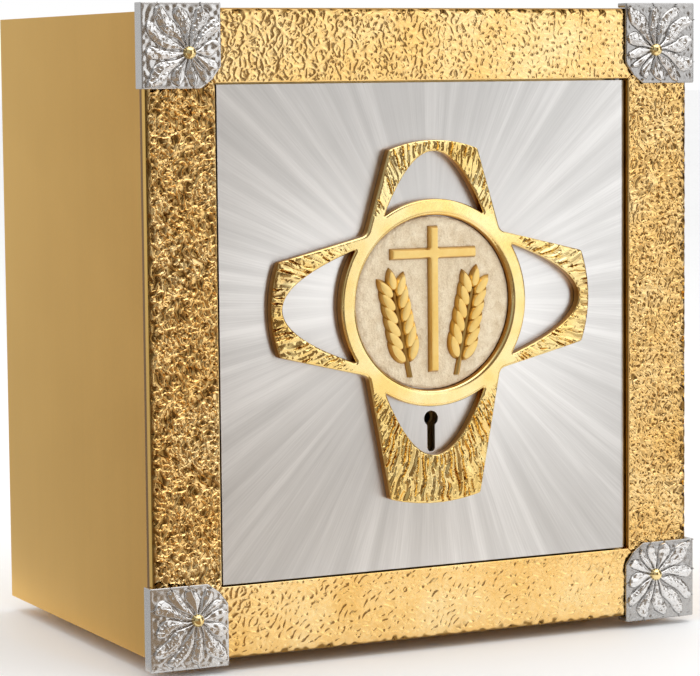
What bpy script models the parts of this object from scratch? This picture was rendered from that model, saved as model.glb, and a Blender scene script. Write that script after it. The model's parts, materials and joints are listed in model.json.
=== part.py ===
"""Tabernacle box: a gilt brass case with a hammered front frame, cast corner plates, and a silvered
door that carries a pierced cross ornament, a relief medallion and a rim lock.

Metres, +Z up. The origin is at the middle of the footprint, on the plane that the feet stand on.
The front faces -Y. Depths are measured back from the front frame's face.
"""

import math

import bmesh
import bpy
from mathutils import Matrix, Vector

# Driving dimensions
FRAME_W = 0.288
FRAME_H = 0.300
FRAME_T = 0.008
RAIL_W = 0.034
DEPTH = 0.198
FOOT_H = 0.006
GAP = 0.0003
CASE_INSET = 0.0015
CASE_WALL = 0.002
BEAD_PROUD = 0.0058

# Door
DOOR_RECESS = 0.001
DOOR_T = 0.007
DOOR_FACE_T = 0.0025
DOOR_RIM = 0.002
DOOR_GAP = 0.0008
HINGE_GAP = 0.001
PIN_R = 0.0015
PIN_CLEARANCE = 0.00006
PIN_LENGTH = 0.021
BUSH_R = 0.003
BUSH_LENGTH = 0.010
HINGE_BAR_W = 0.009

# Stop frame behind the front frame
STOP_T = 0.004
STOP_LAP = 0.008

# Corner plates
PLATE_SIZE = 0.039
PLATE_OVERHANG = 0.0025
PLATE_CHAMFER = 0.010
PLATE_SKIRT_BACK = 0.0062
PLATE_FACE_PROUD = 0.0013
STUD_FROM_EDGE = 0.0228
BEAD_R = 0.003

# Cross ornament, from the centre of its ring
RING_RISE = 0.0112
ORNAMENT_T = 0.005
RING_IN_R = 0.0413
RING_OUT_R = 0.0489
ELBOW = (0.0358, 0.0334)
SIDE_ARM = {"apex": 0.0851, "corner": 0.0810, "half": 0.0222, "window": 0.0791}
TOP_ARM = {"apex": 0.0770, "corner": 0.0727, "half": 0.0236, "window": 0.0717}
BOTTOM_ARM = {"apex": 0.0956, "corner": 0.0923, "half": 0.0242, "window": 0.0725}
WINDOW_HALF_ANGLE = math.radians(32.5)
WINDOW_POWER = 2.0

# Back, feet and case flange
FLANGE_W = 0.012
FLANGE_INSET = 0.0063
BACK_INSET = (0.004, 0.002)
FOOT_IN = 0.044
FOOT_FROM_FRONT = 0.042
FOOT_FROM_BACK = 0.036

# Screws as head radius, head height and shank radius, and the holes for them
FRAME_SCREW = (0.0032, 0.0016, 0.0015)
FOOT_SCREW = (0.0036, 0.0018, 0.0014)
LINER_SCREW = (0.0028, 0.0014, 0.0011)
STRIKE_SCREW = (0.0025, 0.0013, 0.0011)
STUD_HOLE_R = 0.0023
RAIL_SCREW_HOLE_R = 0.0019
BACK_SCREW_HOLE_R = 0.0018
FOOT_SCREW_HOLE_R = 0.0022
LINER_SCREW_HOLE_R = 0.0017
STRIKE_SCREW_HOLE_R = 0.0015
TAPPED_HOLE_R = 0.0014
SCREW_FROM_OPENING = 0.004
STILE_SCREW_FROM_OPENING = 0.012
SCREW_FROM_EDGE = 0.007

# Liner and medallion
LINER_STANDOFF = 0.0027
LINER_T = 0.0015
POST_R = 0.0040
POST_H = 0.0024
DISC_T = 0.0020
RELIEF_T = 0.0014

# Keyhole and lock
KEY_DROP = 0.0555
KEY_R = 0.0037
KEY_SLOT_W = 0.0040
KEY_SLOT_DROP = 0.0160
LOCK_BACK = 0.0213
BOLT_DEPTH = (0.0130, 0.0170)
BOLT_RISE = (0.0060, 0.0140)
BOLT_TRAVEL = 0.008
BOLT_RIGHT_END = 0.018
BOLT_CLEARANCE = 0.0006
DETENT_W = 0.0020
FIRST_DETENT = 0.0102
LOCK_X = (-0.024, 0.028)
LOCK_BELOW_KEY = 0.019
LOCK_ABOVE_KEY = 0.020
KEEPER_WALL = 0.0015
KEEPER_FOOT = 0.009
STRIKE_W = 0.010
GUIDE_X = (-0.0920, -0.0840)

# Cutters
THROUGH = 0.03
OVERRUN = 0.01

# Values worked out from the driving dimensions
FRONT_Y = BEAD_PROUD - (DEPTH + BEAD_PROUD) / 2
FRAME_X = FRAME_W / 2
FRAME_Z = (FOOT_H, FOOT_H + FRAME_H)
OPEN_X = FRAME_X - RAIL_W
OPEN_Z = (FRAME_Z[0] + RAIL_W, FRAME_Z[1] - RAIL_W)
CASE_X = FRAME_X - CASE_INSET
CASE_Z = (FRAME_Z[0] + CASE_INSET, FRAME_Z[1] - CASE_INSET)
DOOR_X = (-OPEN_X + DOOR_GAP, OPEN_X - HINGE_GAP)
DOOR_Z = (OPEN_Z[0] + DOOR_GAP, OPEN_Z[1] - DOOR_GAP)
DOOR_BACK = DOOR_RECESS + DOOR_T
HINGE_R = DOOR_T / 2
PIVOT_X = DOOR_X[1] - HINGE_R
PIVOT_DEPTH = DOOR_RECESS + HINGE_R
STOP_DEPTH = (FRAME_T + GAP, FRAME_T + GAP + STOP_T)
STOP_X = OPEN_X - STOP_LAP
STOP_Z = (OPEN_Z[0] + STOP_LAP, OPEN_Z[1] - STOP_LAP)
RING_Z = (FRAME_Z[0] + FRAME_Z[1]) / 2 + RING_RISE
KEY_Z = RING_Z - KEY_DROP
BOLT_TIP_X = -STOP_X + 0.002
LINER_FRONT = DOOR_RECESS + DOOR_FACE_T + LINER_STANDOFF
LINER_DEPTHS = (LINER_FRONT, LINER_FRONT + LINER_T)
STRIKE_X = (-STOP_X - 0.0015 - STRIKE_W, -STOP_X - 0.0015)

GOLD_SATIN = ((0.64, 0.46, 0.22), 0.38, 1.0)
GOLD_BRIGHT = ((0.86, 0.62, 0.24), 0.22, 1.0)
GOLD_MATTE = ((0.80, 0.60, 0.30), 0.45, 1.0)
SILVER_BRUSHED = ((0.78, 0.77, 0.75), 0.32, 1.0)
SILVER_CAST = ((0.66, 0.66, 0.66), 0.30, 1.0)
SILVER_PALE = ((0.80, 0.76, 0.68), 0.50, 1.0)
STEEL = ((0.55, 0.55, 0.56), 0.35, 1.0)
BRASS = ((0.70, 0.53, 0.25), 0.35, 1.0)
RUBBER = ((0.03, 0.03, 0.03), 0.80, 0.0)

PARTS = "tabernacle_box"
CUTTERS = "cutters"
ROUND = 24
AXIS_TURN = {
    "+X": Matrix.Rotation(math.pi / 2, 4, "Y"),
    "-X": Matrix.Rotation(-math.pi / 2, 4, "Y"),
    "+Y": Matrix.Rotation(-math.pi / 2, 4, "X"),
    "-Y": Matrix.Rotation(math.pi / 2, 4, "X"),
    "+Z": Matrix.Identity(4),
    "-Z": Matrix.Rotation(math.pi, 4, "X"),
}


def at(depth):
    """World Y of a depth behind the front frame's face."""
    return FRONT_Y + depth


def span(depths):
    return (at(depths[0]), at(depths[1]))


def clear_scene():
    for thing in list(bpy.data.objects):
        bpy.data.objects.remove(thing)


def collection(name):
    found = bpy.data.collections.get(name)
    if found is None:
        found = bpy.data.collections.new(name)
        bpy.context.scene.collection.children.link(found)
    return found


def finish_of(name, look):
    colour, roughness, metallic = look
    made = bpy.data.materials.new(name)
    made.use_nodes = True
    shader = made.node_tree.nodes["Principled BSDF"]
    shader.inputs["Base Color"].default_value = (*colour, 1.0)
    shader.inputs["Roughness"].default_value = roughness
    shader.inputs["Metallic"].default_value = metallic
    return made


def place(name, mesh, look):
    """A part when it has a look, and a cutter when it has none."""
    thing = bpy.data.objects.new(name, mesh)
    if look is None:
        collection(CUTTERS).objects.link(thing)
        thing.hide_render = True
        thing.display_type = "WIRE"
    else:
        collection(PARTS).objects.link(thing)
        mesh.materials.append(finish_of(name + "_finish", look))
    return thing


def box(name, x, y, z, look=None):
    low, high = Vector((x[0], y[0], z[0])), Vector((x[1], y[1], z[1]))
    bm = bmesh.new()
    stretch = Matrix.Diagonal((*(high - low), 1.0))
    bmesh.ops.create_cube(bm, size=1.0, matrix=Matrix.Translation((low + high) / 2) @ stretch)
    mesh = bpy.data.meshes.new(name)
    bm.to_mesh(mesh)
    bm.free()
    return place(name, mesh, look)


def cylinder(name, start, axis, radius, length, look=None, segments=ROUND):
    """A rod from start along axis, one of AXIS_TURN's names."""
    bm = bmesh.new()
    where = Matrix.Translation(start) @ AXIS_TURN[axis] @ Matrix.Translation((0, 0, length / 2))
    bmesh.ops.create_cone(bm, cap_ends=True, segments=segments, radius1=radius, radius2=radius,
                          depth=length, matrix=where)
    mesh = bpy.data.meshes.new(name)
    bm.to_mesh(mesh)
    bm.free()
    thing = place(name, mesh, look)
    smooth(thing)
    return thing


def smooth(thing, degrees=35):
    thing.data.shade_smooth()
    thing.data.set_sharp_from_angle(angle=math.radians(degrees))


def turned(name, profile, start, axis, look, closed=False, steps=ROUND):
    """A turned piece. The profile holds (radius, height) points down its outer side."""
    mesh = bpy.data.meshes.new(name)
    bm = bmesh.new()
    verts = [bm.verts.new((r, 0, h)) for r, h in profile]
    for a, b in zip(verts, verts[1:]):
        bm.edges.new((a, b))
    if closed:
        bm.edges.new((verts[-1], verts[0]))
    bm.to_mesh(mesh)
    bm.free()
    thing = place(name, mesh, look)
    thing.matrix_world = Matrix.Translation(start) @ AXIS_TURN[axis]
    screw = thing.modifiers.new("turn", "SCREW")
    screw.steps = steps
    screw.render_steps = steps
    screw.use_merge_vertices = True
    screw.merge_threshold = 0.00001
    screw.use_smooth_shade = True
    return thing


def flat_shape(name, loops, thickness, where, look=None):
    """A plate cut to an outline with holes: loops of (x, y) points, thickness along local Z."""
    curve = bpy.data.curves.new(name + "_outline", "CURVE")
    curve.dimensions = "2D"
    curve.fill_mode = "BOTH"
    curve.extrude = thickness / 2
    for loop in loops:
        spline = curve.splines.new("POLY")
        spline.points.add(len(loop) - 1)
        for point, (x, y) in zip(spline.points, loop):
            point.co = (x, y, 0, 1)
        spline.use_cyclic_u = True
    drawn = bpy.data.objects.new(name + "_outline", curve)
    bpy.context.scene.collection.objects.link(drawn)
    drawn.matrix_world = where
    bpy.context.view_layer.update()
    ready = drawn.evaluated_get(bpy.context.evaluated_depsgraph_get())
    mesh = bpy.data.meshes.new_from_object(ready)
    mesh.name = name
    bm = bmesh.new()
    bm.from_mesh(mesh)
    bmesh.ops.remove_doubles(bm, verts=bm.verts, dist=1e-6)
    bmesh.ops.recalc_face_normals(bm, faces=bm.faces)
    bm.to_mesh(mesh)
    bm.free()
    mesh.materials.clear()
    thing = place(name, mesh, look)
    thing.matrix_world = drawn.matrix_world
    bpy.data.objects.remove(drawn)
    return thing


def facing_front(depth):
    """Lays a flat shape's x and y along world X and Z, centred on a depth."""
    return Matrix.Translation((0, at(depth), 0)) @ Matrix.Rotation(math.pi / 2, 4, "X")


def combine(thing, other, operation="DIFFERENCE"):
    modifier = thing.modifiers.new(other.name, "BOOLEAN")
    modifier.operation = operation
    modifier.object = other
    return thing


def soften(thing, width, segments=1, degrees=40):
    modifier = thing.modifiers.new("edges", "BEVEL")
    modifier.width = width
    modifier.segments = segments
    modifier.limit_method = "ANGLE"
    modifier.angle_limit = math.radians(degrees)
    return thing


def arc(centre, radius, start, end, count):
    """Points on an arc, angles in radians from +X, both ends included."""
    turns = [start + (end - start) * i / (count - 1) for i in range(count)]
    return [(centre[0] + radius * math.cos(t), centre[1] + radius * math.sin(t)) for t in turns]


def slotted_screw(name, start, axis, sizes, shank_length):
    """A steel screw whose head stands from start along axis, with its shank going the other way."""
    head_r, head_h, shank_r = sizes
    profile = [(0, head_h), (head_r * 0.7, head_h), (head_r, head_h * 0.6), (head_r, 0),
               (shank_r, 0), (shank_r, -shank_length), (0, -shank_length)]
    screw = turned(name, profile, start, axis, STEEL, steps=12)
    slot = box(name + "_slot", (-head_r * 1.2, head_r * 1.2), (-head_r * 0.14, head_r * 0.14),
               (head_h * 0.55, head_h * 1.5))
    slot.matrix_world = screw.matrix_world
    return combine(screw, slot)


# Case

def make_case():
    shell = box("case_shell", (-CASE_X, CASE_X), span((FRAME_T + GAP, DEPTH)), CASE_Z, GOLD_SATIN)
    inner_x = CASE_X - CASE_WALL
    inner_z = (CASE_Z[0] + CASE_WALL, CASE_Z[1] - CASE_WALL)
    flange_depth = DEPTH - FLANGE_INSET
    cavity = box("case_cavity", (-inner_x, inner_x), span((0, flange_depth)), inner_z)
    recess = box("case_recess", (-inner_x, inner_x), span((flange_depth + CASE_WALL, DEPTH + OVERRUN)),
                 inner_z)
    window_x = inner_x - FLANGE_W
    window = box("case_window", (-window_x, window_x), span((0, DEPTH + OVERRUN)),
                 (inner_z[0] + FLANGE_W, inner_z[1] - FLANGE_W))
    for cutter in (cavity, recess, window):
        combine(shell, cutter)
    for i, (x, depth) in enumerate(foot_places()):
        combine(shell, cylinder(f"floor_hole_{i}", (x, at(depth), 0), "+Z", FOOT_SCREW_HOLE_R, 0.02))
    for i, (x, z) in enumerate(back_screw_places()):
        combine(shell, cylinder(f"flange_hole_{i}", (x, at(DEPTH - 0.02), z), "+Y", BACK_SCREW_HOLE_R, 0.017))
    return shell


def back_screw_places():
    x = CASE_X - CASE_WALL - 0.006
    low, high = CASE_Z[0] + CASE_WALL + 0.020, CASE_Z[1] - CASE_WALL - 0.020
    return [(sx * x, z) for sx in (-1, 1) for z in (low, high)]


def make_back():
    clear = CASE_WALL + GAP
    panel = box("back_panel", (-CASE_X + clear, CASE_X - clear),
                span((DEPTH - BACK_INSET[0], DEPTH - BACK_INSET[1])),
                (CASE_Z[0] + clear, CASE_Z[1] - clear), GOLD_SATIN)
    for i, (x, z) in enumerate(back_screw_places()):
        combine(panel, cylinder(f"panel_hole_{i}", (x, at(DEPTH - OVERRUN), z), "+Y",
                                BACK_SCREW_HOLE_R, 2 * OVERRUN))
        slotted_screw(f"back_screw_{i + 1}", (x, at(DEPTH - BACK_INSET[1] + GAP), z), "+Y",
                      FRAME_SCREW, 0.0070)
    return panel


def foot_places():
    x = FRAME_X - FOOT_IN
    return [(sx * x, depth) for sx in (-1, 1) for depth in (FOOT_FROM_FRONT, DEPTH - FOOT_FROM_BACK)]


def make_feet():
    top = CASE_Z[0] - GAP
    floor_top = CASE_Z[0] + CASE_WALL
    profile = [(0, 0.003), (0.0018, 0.003), (0.0018, top), (0.0085, top), (0.0100, 0.0010),
               (0.0094, 0), (0, 0)]
    for i, (x, depth) in enumerate(foot_places()):
        turned(f"foot_{i + 1}", profile, (x, at(depth), 0), "+Z", RUBBER)
        slotted_screw(f"foot_screw_{i + 1}", (x, at(depth), floor_top + GAP), "+Z",
                      FOOT_SCREW, 0.0062)


# Front frame

def mitred_rail(name, length, turn, middle):
    """A rail whose long side is outermost. turn is about the view axis, middle the rail's centre."""
    half, w = length / 2, RAIL_W / 2
    trim = GAP / 2 * math.sqrt(2)
    outline = [(-half + trim, w), (half - trim, w), (half - RAIL_W - trim, -w), (-half + RAIL_W + trim, -w)]
    where = (Matrix.Translation((middle[0], at(FRAME_T / 2), middle[1]))
             @ Matrix.Rotation(turn, 4, "Y") @ Matrix.Rotation(math.pi / 2, 4, "X"))
    return flat_shape(name, [outline], FRAME_T, where, GOLD_BRIGHT)


def corner_places():
    """Each corner's name, outer corner of its plate and the quarter turns from the top left one."""
    x = FRAME_X + PLATE_OVERHANG
    low, high = FRAME_Z[0] - PLATE_OVERHANG, FRAME_Z[1] + PLATE_OVERHANG
    return [("top_left", -x, high, 0), ("top_right", x, high, 1),
            ("bottom_right", x, low, 2), ("bottom_left", -x, low, 3)]


def stud_places():
    places = []
    for name, x, z, _ in corner_places():
        sx, sz = math.copysign(1, x), (1 if name.startswith("top") else -1)
        places.append((name, x - sx * STUD_FROM_EDGE, z - sz * STUD_FROM_EDGE))
    return places


def rail_screw_places():
    x, z = OPEN_X + STILE_SCREW_FROM_OPENING, (FRAME_Z[0] + FRAME_Z[1]) / 2
    low, high = OPEN_Z[0] - SCREW_FROM_OPENING, OPEN_Z[1] + SCREW_FROM_OPENING
    return {"rail_top": (0, high), "rail_bottom": (0, low), "stile_left": (-x, z), "stile_right": (x, z)}


def make_frame():
    middle_z = (FRAME_Z[0] + FRAME_Z[1]) / 2
    side, rise = FRAME_X - RAIL_W / 2, FRAME_H / 2 - RAIL_W / 2
    rails = {
        "rail_top": mitred_rail("rail_top", FRAME_W, 0, (0, middle_z + rise)),
        "rail_bottom": mitred_rail("rail_bottom", FRAME_W, math.pi, (0, middle_z - rise)),
        "stile_left": mitred_rail("stile_left", FRAME_H, -math.pi / 2, (-side, middle_z)),
        "stile_right": mitred_rail("stile_right", FRAME_H, math.pi / 2, (side, middle_z)),
    }
    for name, x, z in stud_places():
        hole = cylinder(f"stud_hole_{name}", (x, at(-OVERRUN), z), "+Y", STUD_HOLE_R, THROUGH)
        for rail in rails.values():
            if rail.name.split("_")[1] in name:
                combine(rail, hole)
    for name, (x, z) in rail_screw_places().items():
        hole = cylinder(f"{name}_screw_hole", (x, at(0.003), z), "+Y", RAIL_SCREW_HOLE_R, THROUGH)
        combine(rails[name], hole)
    for name, base, axis in (("top", OPEN_Z[1], "+Z"), ("bottom", OPEN_Z[0], "-Z")):
        step = 0.001 if axis == "+Z" else -0.001
        bore = cylinder(f"bush_seat_{name}", (PIVOT_X, at(PIVOT_DEPTH), base - step), axis,
                        BUSH_R + GAP, BUSH_LENGTH + 0.001 + GAP)
        combine(rails[f"rail_{name}"], bore)
    return rails


def make_stop_frame():
    clear = CASE_WALL + GAP
    z = (CASE_Z[0] + clear, CASE_Z[1] - clear)
    ring = box("door_stop_frame", (-CASE_X + clear, CASE_X - clear),
               span((STOP_DEPTH[0] + GAP, STOP_DEPTH[1] + GAP)), z, BRASS)
    combine(ring, box("doorway", (-STOP_X, STOP_X), span((0, THROUGH)), STOP_Z))
    for name, x, z in stud_places():
        combine(ring, cylinder(f"tap_{name}", (x, at(-OVERRUN), z), "+Y", STUD_HOLE_R, THROUGH + OVERRUN))
    for name, (x, z) in rail_screw_places().items():
        combine(ring, cylinder(f"{name}_clearance", (x, at(0), z), "+Y",
                               RAIL_SCREW_HOLE_R, THROUGH + OVERRUN))
        slotted_screw(f"{name}_screw", (x, at(STOP_DEPTH[1] + 2 * GAP), z), "+Y",
                      FRAME_SCREW, 0.0080)
    for i, z in enumerate(strike_screw_heights()):
        combine(ring, cylinder(f"strike_tap_{i}", (sum(STRIKE_X) / 2, at(0.0095), z), "+Y",
                               TAPPED_HOLE_R, 0.02))
    return ring


def make_corner_plates():
    """A square cast plate with a cut inner corner, two skirts round the frame's edge and a low dome."""
    s, c, skirt = PLATE_SIZE, PLATE_CHAMFER, PLATE_OVERHANG - GAP
    face = [(0, 0), (s, 0), (s, -s + c), (s - c * 0.45, -s + c * 0.4), (s - c, -s), (0, -s)]
    for name, x, z, turns in corner_places():
        base = (Matrix.Translation((x, at(0), z)) @ Matrix.Rotation(turns * math.pi / 2, 4, "Y")
                @ Matrix.Rotation(math.pi / 2, 4, "X"))
        lift = Matrix.Translation((0, 0, (PLATE_FACE_PROUD + GAP) / 2))
        plate = flat_shape(f"corner_plate_{name}", [face], PLATE_FACE_PROUD - GAP, base @ lift, SILVER_CAST)
        lap = PLATE_FACE_PROUD / 2
        height = PLATE_SKIRT_BACK + lap
        sink = Matrix.Translation((0, 0, lap - height / 2))
        bend = [(0, 0), (s, 0), (s, -skirt), (skirt, -skirt), (skirt, -s), (0, -s)]
        combine(plate, flat_shape(f"skirt_{name}", [bend], height, base @ sink), "UNION")
        dome_at = base @ Matrix.Translation((STUD_FROM_EDGE, -STUD_FROM_EDGE, lap))
        dome = turned(f"dome_{name}", [(0, 0.0018), (0.005, 0.0018), (0.0150, 0), (0, 0)],
                      (0, 0, 0), "+Z", None)
        dome.matrix_world = dome_at
        combine(plate, dome, "UNION")
    for name, x, z in stud_places():
        plate = bpy.data.objects[f"corner_plate_{name}"]
        combine(plate, cylinder(f"plate_hole_{name}", (x, at(-0.02), z), "+Y", STUD_HOLE_R, THROUGH))
        combine(plate, cylinder(f"bead_seat_{name}", (x, at(-0.02), z), "+Y", BEAD_R + GAP, 0.0190))
        make_corner_stud(f"corner_stud_{name}", x, z)


def make_corner_stud(name, x, z):
    """A round bead on a shank that runs through the plate and the mitre into the stop frame."""
    neck, tail = 0.0020, -0.0150
    bead = [(-y, x) for x, y in arc((0, 0), BEAD_R, 0, -math.radians(120), 9)]
    profile = [*bead, (neck, bead[-1][1]), (neck, tail), (0, tail)]
    turned(name, profile, (x, at(-BEAD_PROUD + BEAD_R), z), "-Y", GOLD_BRIGHT, steps=16)


def make_pivot_bushes():
    radius = PIN_R + PIN_CLEARANCE
    for name, z, axis, lip in (("top", OPEN_Z[1], "+Z", 0), ("bottom", OPEN_Z[0], "-Z", 0.0005)):
        profile = [(radius, lip), (BUSH_R, lip), (BUSH_R, -BUSH_LENGTH), (radius, -BUSH_LENGTH)]
        down = "-Z" if axis == "+Z" else "+Z"
        turned(f"pivot_bush_{name}", profile, (PIVOT_X, at(PIVOT_DEPTH), z), down, BRASS,
               closed=True, steps=32)


# Door

def door_outline():
    """Plan of the door: square at the free edge, a full round at the hinge edge."""
    centre = (PIVOT_X, -PIVOT_DEPTH)
    round_edge = arc(centre, HINGE_R, -math.pi / 2, math.pi / 2, 13)
    return [(DOOR_X[0], -DOOR_RECESS), (DOOR_X[0], -DOOR_BACK), *round_edge]


def make_door_panel():
    """A shallow pan, open at the back, with a solid bar down the hinge side."""
    height = DOOR_Z[1] - DOOR_Z[0]
    plan = [(x, -y) for x, y in door_outline()]
    upright = Matrix.Translation((0, FRONT_Y, (DOOR_Z[0] + DOOR_Z[1]) / 2))
    panel = flat_shape("door_panel", [plan], height, upright, SILVER_BRUSHED)
    pocket = box("door_pocket", (DOOR_X[0] + DOOR_RIM, DOOR_X[1] - HINGE_BAR_W),
                 span((DOOR_RECESS + DOOR_FACE_T, THROUGH)), (DOOR_Z[0] + DOOR_RIM, DOOR_Z[1] - DOOR_RIM))
    combine(panel, pocket)
    for i, (x, z) in enumerate(liner_screw_places()):
        lap = 0.0005
        post = cylinder(f"post_{i}", (x, at(DOOR_RECESS + DOOR_FACE_T - lap), z), "+Y", POST_R, POST_H + lap)
        combine(panel, post, "UNION")
        combine(panel, cylinder(f"post_tap_{i}", (x, at(0.0024), z), "+Y", TAPPED_HOLE_R, 0.02))
    for i, (x, z) in enumerate(ornament_stud_places()):
        combine(panel, cylinder(f"face_hole_{i}", (x, at(-OVERRUN), z), "+Y", STUD_HOLE_R, THROUGH))
    cut_keyhole(panel)
    seat = PIN_LENGTH / 2
    for name, z, axis in (("top", DOOR_Z[1], "-Z"), ("bottom", DOOR_Z[0], "+Z")):
        overrun = 0.001 if axis == "-Z" else -0.001
        hole = cylinder(f"pin_seat_{name}", (PIVOT_X, at(PIVOT_DEPTH), z + overrun), axis,
                        PIN_R + GAP, seat + 0.001 + GAP)
        combine(panel, hole)
    return panel


def keyhole_loop():
    """Round bow above a straight slot, as one loop about the world X and Z axes."""
    half = KEY_SLOT_W / 2
    start = -math.pi / 2 + math.asin(half / KEY_R)
    bow = arc((0, KEY_Z), KEY_R, start, start + 2 * math.pi - 2 * math.asin(half / KEY_R), 21)
    foot = arc((0, KEY_Z - KEY_SLOT_DROP + half), half, math.pi, 2 * math.pi, 7)
    return [*bow, *foot]


def cut_keyhole(thing, depths=(-0.01, 0.0245)):
    name = thing.name + "_keyhole"
    cutter = flat_shape(name, [keyhole_loop()], depths[1] - depths[0], facing_front(sum(depths) / 2))
    combine(thing, cutter)


def liner_screw_places():
    low, high = STOP_Z[0] + SCREW_FROM_EDGE, STOP_Z[1] - SCREW_FROM_EDGE
    return [(x, z) for x in (-STOP_X + SCREW_FROM_EDGE, STOP_X - 2 * SCREW_FROM_EDGE) for z in (low, high)]


def make_door_liner():
    clear = DOOR_RIM + GAP
    liner = box("door_liner", (DOOR_X[0] + clear, DOOR_X[1] - HINGE_BAR_W - GAP), span(LINER_DEPTHS),
                (DOOR_Z[0] + clear, DOOR_Z[1] - clear), GOLD_MATTE)
    for i, (x, z) in enumerate(liner_screw_places()):
        combine(liner, cylinder(f"liner_hole_{i}", (x, at(0), z), "+Y", LINER_SCREW_HOLE_R, THROUGH))
        slotted_screw(f"liner_screw_{i + 1}", (x, at(LINER_DEPTHS[1] + GAP), z), "+Y",
                      LINER_SCREW, 0.0048)
    cut_keyhole(liner)
    return liner


def make_pivot_pins():
    for name, z in (("top", OPEN_Z[1] - DOOR_GAP), ("bottom", OPEN_Z[0] + DOOR_GAP)):
        start = (PIVOT_X, at(PIVOT_DEPTH), z - PIN_LENGTH / 2)
        pin = cylinder(f"door_pivot_pin_{name}", start, "+Z", PIN_R, PIN_LENGTH, STEEL, segments=32)
        soften(pin, 0.0003)


# Cross ornament

def tip_arc(arm, count=9):
    """The bulged end of an arm that points up, from its right corner to its left one."""
    half, rise = arm["half"], arm["apex"] - arm["corner"]
    radius = (half ** 2 + rise ** 2) / (2 * rise)
    reach = math.asin(half / radius)
    return arc((0, arm["apex"] - radius), radius, math.pi / 2 - reach, math.pi / 2 + reach, count)


def turn_points(points, quarter_turns):
    for _ in range(quarter_turns % 4):
        points = [(-y, x) for x, y in points]
    return points


def ornament_outline():
    """Right, top, left and bottom arms in turn, with an elbow between each two."""
    loop = []
    for arm, turns in ((SIDE_ARM, 3), (TOP_ARM, 0), (SIDE_ARM, 1), (BOTTOM_ARM, 2)):
        loop.extend(turn_points(tip_arc(arm), turns))
        sx, sz = [(1, 1), (-1, 1), (-1, -1), (1, -1)][(turns + 1) % 4]
        loop.extend(elbow_arc(sx, sz))
    return loop


def elbow_arc(sx, sz):
    """A small fillet where two arms meet."""
    r = 0.004
    centre = (ELBOW[0] + r * 0.75, ELBOW[1] + r * 0.75)
    quarter = arc(centre, r, math.radians(200), math.radians(250), 4)
    points = [(sx * x, sz * y) for x, y in quarter]
    return points if sx * sz < 0 else points[::-1]


def window_loop(arm, count=21):
    """A pointed arch over the ring. The sides follow a power law, and the base follows the ring."""
    radius = RING_OUT_R + 0.0004
    half = radius * math.sin(WINDOW_HALF_ANGLE)
    foot = radius * math.cos(WINDOW_HALF_ANGLE)
    rise = arm["window"] - foot
    steps = [1 - 2 * i / (count - 1) for i in range(count)]
    arch = [(half * u, arm["window"] - rise * abs(u) ** WINDOW_POWER) for u in steps]
    base = arc((0, 0), radius, math.pi / 2 + WINDOW_HALF_ANGLE, math.pi / 2 - WINDOW_HALF_ANGLE, 9)
    return arch + base[1:-1]


def ornament_stud_places():
    x, up = 0.0395, 0.0215
    return [(sx * x, RING_Z + sz * up) for sx in (-1, 1) for sz in (-1, 1)]


def make_ornament():
    loops = [ornament_outline(), arc((0, 0), RING_IN_R, 0, 2 * math.pi, 65)[:-1]]
    for arm, turns in ((SIDE_ARM, 3), (TOP_ARM, 0), (SIDE_ARM, 1), (BOTTOM_ARM, 2)):
        loops.append(turn_points(window_loop(arm), turns))
    loops = [[(x, z + RING_Z) for x, z in loop] for loop in loops]
    back = DOOR_RECESS - GAP
    ornament = flat_shape("cross_ornament", loops, ORNAMENT_T, facing_front(back - ORNAMENT_T / 2),
                          GOLD_BRIGHT)
    lap = 0.001
    for i, (x, z) in enumerate(ornament_stud_places()):
        stud = cylinder(f"stud_{i}", (x, at(back - lap), z), "+Y", 0.0020, 0.0050 + lap, segments=16)
        combine(ornament, stud, "UNION")
        make_ornament_nut(f"ornament_nut_{i + 1}", x, z)
    return ornament


def make_ornament_nut(name, x, z):
    nut = cylinder(name, (x, at(DOOR_RECESS + DOOR_FACE_T + GAP), z), "+Y", 0.0040, 0.0018, BRASS, segments=6)
    combine(nut, cylinder(name + "_bore", (x, at(0), z), "+Y", STUD_HOLE_R, 0.02, segments=16))


# Medallion inside the ring

def make_medallion():
    back = DOOR_RECESS - GAP
    radius = RING_IN_R - GAP
    profile = [(0, DISC_T), (radius - 0.0010, DISC_T), (radius, DISC_T - 0.0006), (radius, 0), (0, 0)]
    turned("medallion_disc", profile, (0, at(back), RING_Z), "-Y", SILVER_PALE, steps=64)


def relief(name, loops):
    """A raised shape on the medallion's face."""
    back = DOOR_RECESS - GAP - DISC_T - GAP
    loops = [[(x, z + RING_Z) for x, z in loop] for loop in loops]
    return flat_shape(name, loops, RELIEF_T, facing_front(back - RELIEF_T / 2), GOLD_MATTE)


def make_medallion_cross():
    bar, top, bottom, reach, height = 0.0027, 0.0365, -0.0330, 0.0230, 0.0235
    loop = [(bar, bottom), (bar, height - bar), (reach, height - bar), (reach, height + bar),
            (bar, height + bar), (bar, top), (-bar, top), (-bar, height + bar), (-reach, height + bar),
            (-reach, height - bar), (-bar, height - bar), (-bar, bottom)]
    soften(relief("medallion_cross", [loop]), 0.0004)


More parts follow.
